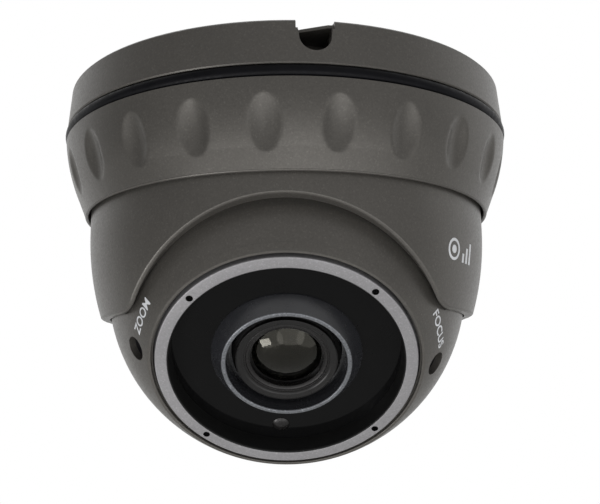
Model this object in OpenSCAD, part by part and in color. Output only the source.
// Ceiling turret camera with a varifocal lens: a base, a twist-lock trim ring, a turret that pans,
// and a ball that tilts and rolls in it. z = 0 is the ceiling, and the camera hangs towards -Z and faces -Y.

/* [Base] */
// Radius of the base at the ceiling
base_r = 64; // [60:0.5:66]
// Radius of the base at its lower edge
base_low_r = 65; // [62:0.5:67]
// Height of the base's side wall
base_h = 11.6; // [10:0.1:12]
// Thickness of the ceiling plate
plate_t = 2.2; // [2:0.1:2.4]
// Pitch circle of the ceiling screws
screw_pcd = 88; // [80:1:90]
// Radius of a ceiling screw hole
screw_hole_r = 2.4; // [2:0.1:2.8]
// Number of ceiling screw holes
screw_count = 3; // [3:1:3]
// Radius of the cable hole through the ceiling plate
cable_hole_r = 9; // [7:0.5:10]
// Distance of the cable hole behind the middle
cable_hole_y = 36; // [32:1:40]
// Width of the cable notch in the side wall
notch_w = 9.6; // [8:0.2:12]
// Depth of the cable notch below the ceiling
notch_h = 8.2; // [7:0.1:9]
// Bearing of the cable notch, from the front towards +X
notch_angle = 7.5; // [0:0.5:20]

/* [Trim ring] */
// Widest radius of the trim ring
trim_r = 65.5; // [64:0.5:68]
// Lower edge of the trim ring, below the ceiling
trim_bottom = 36.7; // [36.5:0.1:37]
// Number of finger dimples round the trim ring
dimple_count = 22; // [16:1:26]
// Bearing of the first finger dimple
dimple_start = -3.7; // [-8:0.1:8]
// Middle of the finger dimples, below the ceiling
dimple_drop = 25.6; // [24:0.1:26]
// Depth of a finger dimple
dimple_depth = 1.3; // [0.8:0.1:1.6]

/* [Turret] */
// Radius of the turret's upper wall
turret_r = 57.6; // [57:0.1:57.8]
// Lower edge of the turret, below the ceiling
turret_bottom = 66.9; // [66:0.1:67.5]
// Radius of the front arch
arch_r = 45.75; // [44:0.05:46.5]
// Top of the front arch, below the ceiling
arch_top = 41.75; // [40:0.05:43]
// Radius of the ears' lower corners beside the arch
ear_r = 5; // [3:0.5:6]
// Rise of the lower edge from the ears to the sides
rim_rise = 1.7; // [0:0.1:2]

/* [Ball] */
// Radius of the ball
ball_r = 52.2; // [52:0.05:52.3]
// Centre of the ball below the ceiling
ball_drop = 54.9; // [54.8:0.1:55.2]
// Tilt of the lens below the horizon as stored
rest_tilt = 44.6; // [20:0.1:80]
// Roll of the ball about the lens axis as stored
rest_roll = -4.7; // [-20:0.1:20]
// Thickness of the ball's shells
shell_t = 2.6; // [2.2:0.1:2.8]
// Radius of the two adjuster holes
port_r = 3.35; // [3:0.05:3.4]

/* [Front] */
// Outer radius of the bezel
bezel_r = 34.9; // [34:0.1:35]
// Inner radius of the bezel
bezel_inner_r = 31.5; // [31:0.1:32]
// Height of the bezel's face above the ball's centre
bezel_h = 37.5; // [37:0.1:37.8]
// Turn of the bezel's pin holes
bezel_turn = 1.6; // [-10:0.1:10]
// Height of the window's face above the ball's centre
window_h = 32.4; // [32:0.1:33]
// Rim radius of the lens hood
hood_r = 17.1; // [16.5:0.1:18]
// Number of places for infrared emitters round the lens
emitter_places = 24; // [20:1:24]

/* [Adjusters] */
// Teeth on the zoom ring and on the focus ring
ring_teeth = 36; // [36:1:36]
// Teeth on each adjuster pinion
pinion_teeth = 9; // [9:1:9]
// Angle between an adjuster's axis and the lens axis
shaft_angle = 50.7; // [50:0.1:51]
// Distance of the zoom gears from the ball's centre
zoom_reach = 22; // [21.8:0.1:22.2]
// Distance of the focus gears from the ball's centre
focus_reach = 29; // [28.8:0.1:29.2]

/* [Hidden] */
$fn = 96;
// Clearances: a running fit, and a gap between fixed pieces
run_gap = 0.05;
fit_gap = 0.1;
// A cut runs past a face by this much
over = 1;

// Heights of the stack below the ceiling, as z values
ball_z = -ball_drop;
trim_top = -15;
skirt_bottom = -21;
flange_top = -24.5;
flange_bottom = -27.2;
seal_bottom = -27.7;
ledge_top = -28.05;
// Radii of the base's inner skirt, which carries the bayonet lugs
skirt_r = 59.6;
skirt_inner_r = 56.8;
lug_r = 61.9;
lug_span = 30;
wall_inner_r = 62.3;
flange_r = 59.2;
turret_inner_r = ball_r + 0.5;
retaining_ring_top = -22.4;
retaining_screw_r = 54.3;
// Groove in the seat, and the slip ring that fills it
seat_ring_r = 53;
seat_ring_low = -64.5;
seat_ring_high = -62.5;
// Where the rise of the lower edge starts and ends, front to back
rim_ear_y = -29.6;
rim_side_y = 5.2;
seat_r = ball_r + 0.4;
// Side profile of the trim ring: an arc about this point
trim_arc_r = 50.6;
trim_arc_z = -11;
trim_centre_r = trim_r - trim_arc_r;
// Side profile of the turret: an arc about this point below its straight wall
turret_arc_r = 78;
turret_arc_z = -42;
// Trunnion, its stop key, and the tilt's travel each way
trunnion_r = 4.5;
trunnion_end = ball_r + 1.9;
key_r = 7;
key_end = ball_r + 1.4;
key_half_angle = 10;
// Half height of the cradle's band, and the bearing that the ball rolls on
band_h = 5;
sleeve_r = 46.95;
sleeve_inner_r = 43.5;
split_h = band_h + 0.3;
flange_inner_r = 38.5;
shell_screw_r = 45.2;
frame_screw_r = 40.6;
back_h = -44;
// Bevel gears: the pitch angles share the shaft angle in the ratio of the teeth
pinion_pitch_angle = atan(sin(shaft_angle) / (ring_teeth / pinion_teeth + cos(shaft_angle)));
ring_pitch_angle = shaft_angle - pinion_pitch_angle;
gear_face = 3;
gear_addendum = 0.9;
gear_dedendum = 1.1;
// An adjuster's shaft, its bearing plate and its slotted head, as distances from the ball's centre
shaft_r = 1.5;
bearing_reach = 31.5;
bearing_t = 3;
head_reach = bearing_reach + bearing_t + 0.3;
head_t = 2.7;
head_r = 2.6;
// Heights of the front's layers above the ball's centre
window_seat_h = window_h - 2.5;
window_low = window_h - 1.5;
window_r = 33;
front_wall_r = 35.5;
front_wall_outer_r = 38.4;
hood_plug_r = 16.4;
hood_base_r = 20.4;
hood_h = bezel_h - 0.5;
// Rounded lip of the ball round the bezel, just inside the ball's surface
lip_r = 0.8;
lip_centre_r = 37.1;
lip_centre_h = sqrt(pow(ball_r - lip_r - 0.05, 2) - pow(lip_centre_r, 2));
photocell_r = 2.3;
photocell_reach = 25.5;
// Boards, posts and screws inside the ball
emitter_board_h = 26.2;
emitter_top = emitter_board_h + 1.6;
emitter_pcd_r = 24.3;
post_r = 27;
post_bearing = 52.5;
frame_h = 2.3;
frame_t = 3;
sensor_board_top = 2.2;
sensor_screw_r = 22.6;
main_board_top = -12.4;
main_post_r = 33;
holder_screw_r = 14.8;
gland_r = 4;
gland_bore_r = 2.8;
// Lens barrel's steps
barrel_thread_r = 9.4;
rear_barrel_r = 11;
mid_barrel_r = 12.5;
front_barrel_r = 14.6;
barrel_front_h = 34.4;

// Places its children in the ball as stored: +Z along the lens, +Y up
module in_tilt() {
    translate([0, 0, ball_z]) rotate([90 + rest_tilt, 0, 0]) children();
}

module in_ball() {
    in_tilt() rotate([0, 0, rest_roll]) children();
}

// Places its children on an adjuster's axis, +Z outwards: side is -1 for zoom and 1 for focus
module on_adjuster(side) {
    rotate([0, 0, side > 0 ? 0 : 180]) rotate([0, shaft_angle, 0]) children();
}

module ring(outer_r, inner_r, low, high) {
    translate([0, 0, low])
        difference() {
            cylinder(r = outer_r, h = high - low);
            translate([0, 0, -over]) cylinder(r = inner_r, h = high - low + 2 * over);
        }
}

module disc(r, low, high) {
    translate([0, 0, low]) cylinder(r = r, h = high - low);
}

// A part of a ring that covers an angle, from start, anticlockwise
module arc_block(outer_r, inner_r, low, high, start, span) {
    rotate([0, 0, start])
        translate([0, 0, low])
            rotate_extrude(angle = span)
                translate([inner_r, 0]) square([outer_r - inner_r, high - low]);
}

// Repeats its children round the axis
module around(count, start = 0) {
    for (i = [0 : count - 1]) rotate([0, 0, start + i * 360 / count]) children();
}

// A screw along +Z with its head on top at z = 0: a cheese head with a cross slot
module screw(shank_r, shank_l, head_r, head_h) {
    difference() {
        union() {
            translate([0, 0, -shank_l]) cylinder(r = shank_r, h = shank_l + head_h / 2);
            cylinder(r = head_r, h = head_h);
        }
        for (turn = [0, 90])
            rotate([0, 0, turn])
                translate([-head_r * 0.6, -head_r * 0.13, head_h * 0.45])
                    cube([head_r * 1.2, head_r * 0.26, head_h]);
    }
}

// Outline of the cable notch: straight sides and a round bottom, cut off above a height
module notch_outline(top) {
    round_r = notch_w * 0.42;
    intersection() {
        union() {
            translate([0, -notch_h + round_r]) circle(r = round_r);
            polygon([[-round_r, -notch_h + round_r], [-notch_w / 2, over], [notch_w / 2, over],
                [round_r, -notch_h + round_r]]);
        }
        translate([-notch_w, -notch_h - over]) square([2 * notch_w, top + notch_h + over]);
    }
}

// Cable notch: open through the side wall, a channel behind it, and a slanted gap in the plate above
module notch_cut() {
    channel_top = -0.8;
    rotate([0, 0, notch_angle]) {
        translate([0, -61.2, 0]) rotate([90, 0, 0]) linear_extrude(height = 10) notch_outline(over);
        translate([0, -50, 0]) rotate([90, 0, 0]) linear_extrude(height = 15) notch_outline(channel_top);
        translate([0, 0, -plate_t])
            linear_extrude(height = plate_t + over)
                polygon([[-notch_w / 2, -70], [-notch_w / 2, -57], [notch_w / 2, -61.8], [notch_w / 2, -70]]);
    }
}

// Slope the turret's lower edge up from the ears to the sides
module rim_cut() {
    slope = rim_rise / (rim_side_y - rim_ear_y);
    start_y = rim_ear_y - 5;
    rotate([90, 0, 90])
        linear_extrude(height = 200, center = true)
            polygon([[start_y, -turret_bottom - 5 * slope], [rim_side_y, rim_rise - turret_bottom],
                [80, rim_rise - turret_bottom], [80, -90], [start_y, -90]]);
}
module mounting_base() {
    color([0.27, 0.26, 0.25])
        difference() {
            union() {
                rotate_extrude()
                    polygon([[0, 0], [base_r - 0.5, 0], [base_r, -0.5], [base_low_r, -base_h + 0.3],
                        [base_low_r - 0.3, -base_h], [wall_inner_r - 0.3, -base_h],
                        [wall_inner_r - 0.5, -plate_t], [0, -plate_t]]);
                ring(skirt_r, skirt_inner_r, skirt_bottom, -plate_t / 2);
                for (i = [0 : 2])
                    arc_block(lug_r, skirt_r - 1, -20.6, -18, i * 120 - lug_span / 2, lug_span);
                pan_stop(-19, -plate_t / 2, 90);
                around(screw_count, -90) translate([screw_pcd / 2, 0, 0]) disc(5, -4, -plate_t / 2);
            }
            around(screw_count, -90) translate([screw_pcd / 2, 0, 0]) disc(screw_hole_r, -10, over);
            translate([0, cable_hole_y, 0]) disc(cable_hole_r, -plate_t - over, over);
            notch_cut();
        }
}

// Tab that limits the pan, 2.4 degrees wide: one hangs from the base and one stands on the turret
module pan_stop(low, high, bearing) {
    arc_block(56.3, 53.2, low, high, bearing - 1.2, 2.4);
}

module base_gasket() {
    bulge_r = 1.62;
    color([0.09, 0.09, 0.1])
        rotate_extrude()
            union() {
                translate([skirt_r + 0.4, trim_top + fit_gap / 2])
                    square([trim_r - bulge_r - skirt_r - 0.4, -base_h - trim_top - fit_gap]);
                translate([trim_r - bulge_r, (trim_top - base_h) / 2]) circle(r = bulge_r);
            }
}

// One finger dimple: a spindle whose long axis follows the trim ring's side
module dimple_cut() {
    width_r = 7.8;
    length_r = 30;
    slope = asin((dimple_drop + trim_arc_z) / trim_arc_r);
    surface_r = trim_centre_r + trim_arc_r * cos(slope);
    translate([surface_r, 0, -dimple_drop])
        rotate([0, slope, 0])
            translate([width_r - dimple_depth, 0, 0])
                rotate_extrude()
                    intersection() {
                        translate([width_r - length_r, 0]) circle(r = length_r);
                        translate([0, -25]) square([width_r + 1, 50]);
                    }
}

// Trim ring with a bayonet: its lugs sit above the base's lugs, and a ledge carries the turret's flange
module lock_ring() {
    lip_r = 0.55;
    throat_r = turret_r + 0.6;
    upper_r = 60.2;
    color([0.3, 0.29, 0.28])
        difference() {
            union() {
                difference() {
                    rotate_extrude()
                        union() {
                            intersection() {
                                translate([trim_centre_r, trim_arc_z]) circle(r = trim_arc_r);
                                translate([throat_r, lip_r - trim_bottom])
                                    square([12, trim_bottom - lip_r + trim_top]);
                            }
                            translate([throat_r + lip_r, lip_r - trim_bottom]) circle(r = lip_r);
                        }
                    disc(wall_inner_r, -21.5, trim_top + over);
                    translate([0, 0, -23.5]) cylinder(r1 = upper_r, r2 = wall_inner_r + 0.02, h = 2.02);
                    disc(upper_r, ledge_top, -23.4);
                }
                for (i = [0 : 2])
                    arc_block(wall_inner_r + 1, skirt_r + 0.5, -17.7, trim_top - 0.5,
                        i * 120 - lug_span / 2, lug_span);
            }
            around(dimple_count, -90 + dimple_start) dimple_cut();
        }
}

// Opening of the front arch, with a rounded corner on each ear
module arch_cut() {
    centre_z = -arch_top - arch_r;
    corner_z = -turret_bottom + ear_r;
    corner_x = sqrt(pow(arch_r + ear_r, 2) - pow(corner_z - centre_z, 2));
    touch = arch_r / (arch_r + ear_r);
    touch_x = corner_x * touch;
    touch_z = centre_z + (corner_z - centre_z) * touch;
    rotate([90, 0, 0])
        linear_extrude(height = 80)
            union() {
                translate([0, centre_z]) circle(r = arch_r);
                difference() {
                    polygon([[-touch_x, touch_z], [touch_x, touch_z], [corner_x, -turret_bottom],
                        [corner_x, -80], [-corner_x, -80], [-corner_x, -turret_bottom]]);
                    for (side = [-1, 1]) translate([side * corner_x, corner_z]) circle(r = ear_r);
                }
            }
}

// Slot and bore that take one trunnion, with room below for the stop key's swing
module trunnion_cut() {
    depth = trunnion_end + 0.3 - ball_r + 2;
    key_swing = key_half_angle + max(rest_tilt, 90 - rest_tilt) + 0.5;
    translate([ball_r - 2, 0, ball_z]) rotate([0, 90, 0]) cylinder(r = trunnion_r + run_gap, h = depth);
    translate([ball_r - 2, -trunnion_r - run_gap, ball_z])
        cube([depth, 2 * (trunnion_r + run_gap), 40]);
    translate([ball_r - 0.6, 0, ball_z])
        rotate([0, 90, 0])
            rotate([0, 0, -key_swing])
                rotate_extrude(angle = 2 * key_swing) square([key_r + 0.2, key_end + 0.9 - ball_r]);
}

module turret_housing() {
    color([0.28, 0.27, 0.26])
        difference() {
            rotate_extrude()
                union() {
                    intersection() {
                        translate([turret_r - turret_arc_r, turret_arc_z]) circle(r = turret_arc_r);
                        translate([40, -turret_bottom]) square([20, turret_bottom + turret_arc_z]);
                    }
                    translate([40, turret_arc_z]) square([turret_r - 40, flange_top - turret_arc_z]);
                    translate([40, flange_bottom]) square([flange_r - 40, flange_top - flange_bottom]);
                }
            disc(turret_inner_r, ball_z, 0);
            translate([0, 0, ball_z]) sphere(r = seat_r);
            ring(seat_ring_r, 30, seat_ring_low, seat_ring_high);
            arch_cut();
            for (turn = [0, 180]) rotate([0, 0, turn]) trunnion_cut();
            rim_cut();
            around(4, 45) translate([retaining_screw_r, 0, 0]) disc(1.25, -34, 0);
        }
}

module pan_slip_ring() {
    color([0.75, 0.74, 0.7]) ring(flange_r, skirt_inner_r + fit_gap, flange_top, skirt_bottom - 0.3);
}

module turret_seal() {
    color([0.07, 0.07, 0.08]) ring(flange_r, turret_r + fit_gap, seal_bottom, flange_bottom);
}

module seat_ring() {
    color([0.1, 0.1, 0.1])
        difference() {
            rotate_extrude($fn = 192)
                difference() {
                    translate([seat_ring_r - 4, seat_ring_low])
                        square([4, seat_ring_high - seat_ring_low]);
                    translate([0, ball_z]) circle(r = ball_r + 0.25);
                }
            arch_cut();
        }
}

// Fill each trunnion's slot above its bore, so the ball can't lift out
module trunnion_caps() {
    color([0.2, 0.2, 0.2])
        for (turn = [0, 180])
            rotate([0, 0, turn])
                difference() {
                    translate([turret_inner_r, -trunnion_r, ball_z + 0.8])
                        cube([trunnion_end + 0.2 - turret_inner_r, 2 * trunnion_r,
                            flange_top - ball_z - 0.8]);
                    translate([ball_r - 2, 0, ball_z])
                        rotate([0, 90, 0]) cylinder(r = trunnion_r + run_gap, h = 8);
                }
}

module ball_retaining_ring() {
    color([0.2, 0.2, 0.21])
        difference() {
            union() {
                ring(56.4, 41, flange_top, retaining_ring_top);
                pan_stop(retaining_ring_top - 0.5, -16, -90);
            }
            translate([0, 0, ball_z]) sphere(r = seat_r);
            around(4, 45) translate([retaining_screw_r, 0, 0]) disc(1.35, -30, 0);
        }
}

module retaining_screws() {
    color([0.62, 0.62, 0.64])
        around(4, 45) translate([retaining_screw_r, 0, retaining_ring_top]) screw(1.2, 9, 2, 1.3);
}

// Band round the ball's middle that tilts on its trunnions, and in which the ball rolls
module tilt_cradle() {
    color([0.26, 0.26, 0.26])
        union() {
            in_tilt()
                difference() {
                    intersection() {
                        sphere(r = ball_r);
                        disc(ball_r + 2, -band_h, band_h);
                    }
                    disc(sleeve_r + run_gap, -band_h - over, band_h + over);
                }
            for (turn = [0, 180])
                rotate([0, 0, turn])
                    translate([0, 0, ball_z])
                        rotate([0, 90, 0])
                            union() {
                                disc(trunnion_r, ball_r - 1.6, trunnion_end);
                                translate([0, 0, ball_r + 0.1])
                                    rotate([0, 0, -key_half_angle])
                                        rotate_extrude(angle = 2 * key_half_angle)
                                            square([key_r, key_end - ball_r - 0.1]);
                            }
        }
}

// Adjuster holes through the ball, with the tool's path to each slotted head
module port_cuts() {
    for (side = [-1, 1])
        on_adjuster(side) {
            disc(port_r, ball_r - 4, ball_r + 3);
            disc(2.6, head_reach - 2, ball_r - 3);
        }
}

// Pocket for the bezel: window step, thin rib, groove and rounded lip
module front_wall() {
    base_h0 = window_seat_h - 1.9;
    rotate_extrude()
        union() {
            translate([29.6, base_h0]) square([front_wall_outer_r - 29.6, 1.9]);
            translate([window_r + fit_gap, base_h0]) square([front_wall_outer_r - window_r - fit_gap, 3.6]);
            translate([front_wall_r, base_h0]) square([front_wall_outer_r - front_wall_r, 6.9]);
            translate([front_wall_r, base_h0]) square([0.45, 8.1]);
            translate([lip_centre_r - lip_r, base_h0]) square([1.5, lip_centre_h - base_h0]);
            translate([lip_centre_r, lip_centre_h]) circle(r = lip_r);
        }
}

module ball_front_shell() {
    color([0.28, 0.27, 0.26])
        in_ball()
            difference() {
                union() {
                    difference() {
                        sphere(r = ball_r);
                        sphere(r = ball_r - shell_t);
                        disc(ball_r + 5, -ball_r - 5, split_h);
                        disc(lip_centre_r + 0.5, 20, 60);
                    }
                    front_wall();
                    ring(49.8, flange_inner_r, split_h, split_h + shell_t);
                    ring(sleeve_r, sleeve_inner_r, 0.05 - split_h, split_h + 1);
                }
                port_cuts();
                around(4, 45) translate([frame_screw_r, 0, 0]) disc(1.25, split_h - over, split_h + 2);
                around(4, 20) translate([shell_screw_r, 0, 0]) disc(1.25, -split_h - over, 2);
            }
}

module ball_rear_shell() {
    color([0.28, 0.27, 0.26])
        in_ball()
            difference() {
                union() {
                    difference() {
                        intersection() {
                            sphere(r = ball_r);
                            disc(60, back_h, -split_h);
                        }
                        intersection() {
                            sphere(r = ball_r - shell_t);
                            disc(60, back_h + shell_t, -split_h + over);
                        }
                    }
                    ring(49.8, sleeve_inner_r, -split_h - shell_t, -split_h);
                    intersection() {
                        around(4, 20) translate([shell_screw_r, 0, 0]) disc(3.2, -40, -split_h - 1);
                        sphere(r = ball_r - 1);
                    }
                }
                around(4, 20)
                    translate([shell_screw_r, 0, 0]) {
                        disc(1.35, -12, 0);
                        disc(2.4, -60, -split_h - shell_t);
                    }
                disc(gland_r + fit_gap, back_h - over, back_h + shell_t + over);
            }
}

module shell_screws() {
    color([0.62, 0.62, 0.64])
        in_ball()
            around(4, 20)
                translate([shell_screw_r, 0, -split_h - shell_t])
                    rotate([180, 0, 0]) screw(1.2, 6, 2.2, 1.5);
}

module front_bezel() {
    thread_r = front_wall_r - 0.05;
    color([0.56, 0.55, 0.57])
        in_ball()
            difference() {
                rotate_extrude()
                    polygon([[bezel_inner_r - 0.6, window_h], [thread_r, window_h], [thread_r, 34],
                        [bezel_r, 34.4], [bezel_r, bezel_h - 0.25], [bezel_r - 0.25, bezel_h],
                        [bezel_inner_r + 0.3, bezel_h], [bezel_inner_r, bezel_h - 0.35]]);
                around(4, 45 + bezel_turn - rest_roll)
                    translate([(bezel_r + bezel_inner_r) / 2, 0, 0]) disc(0.95, 35, 40);
            }
}

module window_gasket() {
    color([0.06, 0.06, 0.06]) in_ball() ring(32.2, 30, window_seat_h, window_low);
}

module front_window() {
    color([0.06, 0.06, 0.065])
        in_ball()
            difference() {
                ring(window_r, hood_plug_r + fit_gap, window_low, window_h);
                translate([0, -photocell_reach, 20]) cylinder(r = photocell_r + fit_gap, h = 20);
            }
}

// Tapered shade round the lens, seated in the window
module lens_hood() {
    bore_r = 15;
    color([0.1, 0.1, 0.11])
        in_ball()
            rotate_extrude()
                polygon([[bore_r, 29.4], [hood_plug_r, 29.4], [hood_plug_r, window_h],
                    [hood_base_r, window_h], [hood_base_r - 0.2, window_h + 0.3],
                    [hood_r + 0.15, hood_h - 0.25], [hood_r - 0.1, hood_h],
                    [bore_r + 0.4, hood_h], [bore_r, hood_h - 0.4]]);
}

module hood_seal() {
    color([0.05, 0.05, 0.05]) in_ball() rotate_extrude() translate([14.46, 30.6]) circle(r = 0.52);
}

module photocell() {
    color([0.2, 0.2, 0.22])
        in_ball()
            translate([0, -photocell_reach, 0])
                intersection() {
                    translate([0, 0, window_h - 3.8]) sphere(r = 4.5);
                    disc(photocell_r, emitter_top, window_h + 2);
                }
}

module emitter_board() {
    color([0.1, 0.28, 0.16])
        in_ball()
            difference() {
                ring(28.6, 18.2, emitter_board_h, emitter_top);
                around(4, post_bearing) translate([post_r, 0, 0]) disc(0.9, 20, 30);
            }
}

// Domed emitters round the lens, with one place left for the photocell
module infrared_emitters() {
    color([0.75, 0.75, 0.8])
        in_ball()
            for (i = [0 : emitter_places - 1])
                if (abs(i * 360 / emitter_places - 270) > 1)
                    rotate([0, 0, i * 360 / emitter_places])
                        translate([emitter_pcd_r, 0, emitter_top])
                            union() {
                                cylinder(r = 2.3, h = 0.8);
                                intersection() {
                                    translate([0, 0, 0.3]) sphere(r = 2);
                                    cylinder(r = 3, h = 3);
                                }
                            }
}

module emitter_board_posts() {
    color([0.7, 0.62, 0.3])
        in_ball()
            around(4, post_bearing)
                translate([post_r, 0, 0])
                    difference() {
                        disc(1.5, frame_h + frame_t, emitter_board_h);
                        disc(0.82, emitter_board_h - 5, emitter_board_h + over);
                    }
}

module emitter_board_screws() {
    color([0.62, 0.62, 0.64])
        in_ball() around(4, post_bearing) translate([post_r, 0, emitter_top]) screw(0.75, 5, 1.25, 0.8);
}

// Plate across the ball that carries the lens, the boards and the two adjusters' bearings
module module_frame() {
    column_x = 31.6;
    color([0.45, 0.45, 0.47])
        in_ball()
            difference() {
                union() {
                    ring(sleeve_inner_r - fit_gap, 13, frame_h, frame_h + frame_t);
                    for (side = [-1, 1]) {
                        on_adjuster(side) translate([-3.4, -4, bearing_reach]) cube([16.4, 8, bearing_t]);
                        rotate([0, 0, side > 0 ? 0 : 180])
                            translate([column_x, -4, frame_h]) cube([4.8, 8, 10.4]);
                    }
                }
                for (side = [-1, 1]) on_adjuster(side) disc(shaft_r + run_gap, 28, 38);
                around(4, 45) translate([frame_screw_r, 0, 0]) disc(1.35, 0, 8);
                around(4, 45) translate([sensor_screw_r, 0, 0]) disc(0.95, 0, 4.8);
                around(3, 90) translate([holder_screw_r, 0, 0]) disc(0.95, 3, 8);
            }
}

module frame_screws() {
    color([0.62, 0.62, 0.64])
        in_ball()
            around(4, 45)
                translate([frame_screw_r, 0, frame_h]) rotate([180, 0, 0]) screw(1.2, 4.6, 2, 1.3);
}

// Soft plugs in the adjuster holes
module adjuster_plugs() {
    color([0.04, 0.04, 0.04])
        in_ball()
            for (side = [-1, 1])
                on_adjuster(side)
                    difference() {
                        disc(port_r - 0.03, ball_r - shell_t - 0.6, ball_r - 2);
                        translate([-1.6, -0.3, ball_r - 2.6]) cube([3.2, 0.6, 2]);
                    }
}

// A point on a bevel gear in its side view: on the pitch cone at a reach, raised off it by rise
function bevel_point(reach, angle, rise) =
    [reach * sin(angle) + rise * cos(angle), reach * cos(angle) - rise * sin(angle)];

// Straight tooth spaces cut along a bevel gear's pitch cone
module tooth_spaces(count, angle, reach, pitch_share, flank) {
    pitch = 2 * PI * reach * sin(angle) / count;
    low = -gear_dedendum;
    high = gear_addendum + over;
    half = pitch * pitch_share / 2;
    around(count)
        rotate([0, angle, 0])
            translate([0, 0, reach - gear_face / 2 - over])
                linear_extrude(height = gear_face + 2 * over)
                    polygon([[low, -half - low * tan(flank)], [high, -half - high * tan(flank)],
                        [high, half + high * tan(flank)], [low, half + low * tan(flank)]]);
}

// Adjuster: a slotted head, a shaft and a bevel pinion, turned with a screwdriver through the port
module adjuster(reach) {
    angle = pinion_pitch_angle;
    near = reach - gear_face / 2;
    far = reach + gear_face / 2;
    difference() {
        union() {
            difference() {
                rotate_extrude()
                    polygon([[0, bevel_point(near, angle, gear_addendum)[1]],
                        bevel_point(near, angle, gear_addendum), bevel_point(far, angle, gear_addendum),
                        [0, bevel_point(far, angle, gear_addendum)[1]]]);
                tooth_spaces(pinion_teeth, angle, reach, 0.64, 26);
            }
            disc(shaft_r, near, head_reach + 1);
            disc(head_r, head_reach, head_reach + head_t);
        }
        translate([-head_r - over, -0.45, head_reach + head_t - 1.4]) cube([2 * head_r + 2 * over, 0.9, 3]);
    }
}

module zoom_adjuster() {
    color([0.85, 0.84, 0.8]) in_ball() on_adjuster(-1) adjuster(zoom_reach);
}

module focus_adjuster() {
    color([0.85, 0.84, 0.8]) in_ball() on_adjuster(1) adjuster(focus_reach);
}

// Ring on the barrel with a bevel gear on its outside: low and high are its sleeve's ends
module geared_ring(bore_r, reach, low, high) {
    angle = ring_pitch_angle;
    near = reach - gear_face / 2;
    far = reach + gear_face / 2;
    tip_near = bevel_point(near, angle, gear_addendum);
    difference() {
        rotate_extrude()
            polygon([[bore_r, low], [tip_near[0] - 1.1, low], tip_near,
                bevel_point(far, angle, gear_addendum), bevel_point(far, angle, -gear_dedendum),
                [far * sin(angle) - 2, high], [bore_r, high]]);
        tooth_spaces(ring_teeth, angle, reach, 0.62, 15);
    }
}

module zoom_ring() {
    color([0.13, 0.13, 0.14]) in_ball() geared_ring(rear_barrel_r + run_gap, zoom_reach, 14, 19.6);
}

module focus_ring() {
    color([0.13, 0.13, 0.14]) in_ball() geared_ring(mid_barrel_r + run_gap, focus_reach, 20.1, 24.4);
}

// Stepped barrel: thread, zoom journal, focus journal, seal groove and front bevel
module lens_barrel() {
    color([0.12, 0.12, 0.12])
        in_ball()
            rotate_extrude()
                polygon([[7.2, 7.6], [barrel_thread_r, 7.6], [barrel_thread_r, 13.5], [rear_barrel_r, 13.5],
                    [rear_barrel_r, 19.8], [mid_barrel_r, 19.8], [mid_barrel_r, 24.6], [14.2, 24.6],
                    [front_barrel_r, 25], [front_barrel_r, 29.9], [13.9, 30.05], [13.9, 31.15],
                    [front_barrel_r, 31.3], [front_barrel_r, barrel_front_h - 1.5], [12.9, barrel_front_h],
                    [12.6, barrel_front_h], [12.2, barrel_front_h - 0.7], [10.85, barrel_front_h - 1],
                    [10.85, 32.2], [9.5, 32.2], [9.5, 29.2], [7.2, 26]]);
}

// Domed front element
module front_lens() {
    dome_r = 17;
    color([0.2, 0.22, 0.25])
        in_ball()
            intersection() {
                translate([0, 0, 34.8 - dome_r]) sphere(r = dome_r);
                disc(9.4, 29.4, 36);
            }
}

module front_lens_ring() {
    color([0.14, 0.14, 0.14])
        in_ball()
            rotate_extrude()
                polygon([[9.5, 32.3], [10.8, 32.3], [10.8, 33.5], [10.5, 33.9], [9.9, 33.9], [9.5, 33.4]]);
}

// Double-curved element inside the barrel
module inner_lens(radius, dome_r, middle, thickness) {
    intersection() {
        translate([0, 0, middle + thickness / 2 - dome_r]) sphere(r = dome_r);
        translate([0, 0, middle - thickness / 2 + dome_r]) sphere(r = dome_r);
        disc(radius, middle - thickness, middle + thickness);
    }
}

module middle_lens() {
    color([0.55, 0.62, 0.66]) in_ball() inner_lens(7.1, 15, 20, 5.2);
}

module rear_lens() {
    color([0.55, 0.62, 0.66]) in_ball() inner_lens(7.1, 18, 11, 4.6);
}

module lens_holder() {
    color([0.1, 0.1, 0.1])
        in_ball()
            difference() {
                rotate_extrude()
                    polygon([[5, 5.3], [17, 5.3], [17, 7], [12.4, 7.3], [12.4, 13.3],
                        [barrel_thread_r + 0.05, 13.3], [barrel_thread_r + 0.05, 6.1], [5, 6.1]]);
                around(3, 90) translate([holder_screw_r, 0, 0]) disc(1.05, 4, 9);
            }
}

module lens_holder_screws() {
    color([0.62, 0.62, 0.64])
        in_ball() around(3, 90) translate([holder_screw_r, 0, 7.3]) screw(0.9, 4, 1.5, 0.9);
}

module ir_cut_filter() {
    color([0.55, 0.3, 0.3]) in_ball() translate([-5.6, -5.6, 6.15]) cube([11.2, 11.2, 1]);
}

module image_sensor() {
    color([0.15, 0.2, 0.25]) in_ball() translate([-4.8, -3.8, sensor_board_top]) cube([9.6, 7.6, 1.2]);
}

module sensor_board() {
    half = 19;
    color([0.08, 0.25, 0.14])
        in_ball()
            difference() {
                translate([-half, -half, sensor_board_top - 1.6]) cube([2 * half, 2 * half, 1.6]);
                around(4, 45) translate([sensor_screw_r, 0, 0]) disc(1.05, -2, 4);
            }
}

module sensor_screws() {
    color([0.62, 0.62, 0.64])
        in_ball()
            around(4, 45)
                translate([sensor_screw_r, 0, sensor_board_top - 1.6])
                    rotate([180, 0, 0]) screw(0.9, 3.8, 1.6, 0.9);
}

module main_board() {
    color([0.08, 0.25, 0.14])
        in_ball()
            difference() {
                disc(36, main_board_top - 1.6, main_board_top);
                around(4) translate([main_post_r, 0, 0]) disc(1.05, -20, 0);
            }
}

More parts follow.
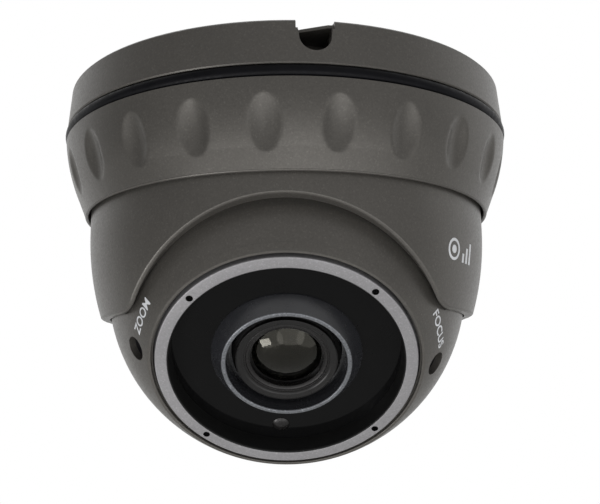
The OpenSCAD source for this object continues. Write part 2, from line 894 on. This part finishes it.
module main_board_posts() {
    color([0.7, 0.62, 0.3])
        in_ball()
            around(4)
                translate([main_post_r, 0, 0])
                    difference() {
                        disc(2.2, main_board_top, frame_h);
                        disc(0.95, main_board_top - over, main_board_top + 5);
                    }
}

module main_board_screws() {
    color([0.62, 0.62, 0.64])
        in_ball()
            around(4)
                translate([main_post_r, 0, main_board_top - 1.6]) rotate([180, 0, 0]) screw(0.9, 5, 1.7, 1);
}

module board_connector() {
    color([0.85, 0.83, 0.75])
        in_ball()
            difference() {
                translate([-8, 12, main_board_top - 8.1]) cube([16, 7, 6.5]);
                translate([-7, 13, main_board_top - 9]) cube([14, 5, 5]);
            }
}

// Gland body through the ball's back, with its flange and cap outside
module cable_gland() {
    color([0.08, 0.08, 0.08])
        in_ball()
            difference() {
                union() {
                    disc(gland_r, back_h - 1, back_h + shell_t + 5);
                    disc(6.9, back_h - 2, back_h);
                    disc(5.6, back_h - 7, back_h - 1);
                }
                disc(gland_bore_r + 1, back_h - 8, back_h - 2);
                disc(gland_bore_r, back_h - 3, back_h + shell_t + 6);
            }
}

module gland_nut() {
    color([0.08, 0.08, 0.08])
        in_ball()
            difference() {
                translate([0, 0, back_h + shell_t]) cylinder(r = 6.6, h = 3, $fn = 6);
                disc(gland_r + run_gap, back_h, back_h + 10);
            }
}

module gland_seal() {
    color([0.15, 0.15, 0.15]) in_ball() ring(gland_bore_r + 0.95, 2.2, back_h - 6.6, back_h - 2.1);
}

mounting_base();
base_gasket();
lock_ring();
turret_housing();
pan_slip_ring();
turret_seal();
seat_ring();
trunnion_caps();
ball_retaining_ring();
retaining_screws();
tilt_cradle();
ball_front_shell();
ball_rear_shell();
shell_screws();
front_bezel();
window_gasket();
front_window();
lens_hood();
hood_seal();
photocell();
emitter_board();
infrared_emitters();
emitter_board_posts();
emitter_board_screws();
module_frame();
frame_screws();
adjuster_plugs();
zoom_adjuster();
focus_adjuster();
zoom_ring();
focus_ring();
lens_barrel();
front_lens();
front_lens_ring();
middle_lens();
rear_lens();
lens_holder();
lens_holder_screws();
ir_cut_filter();
image_sensor();
sensor_board();
sensor_screws();
main_board();
main_board_posts();
main_board_screws();
board_connector();
cable_gland();
gland_nut();
gland_seal();
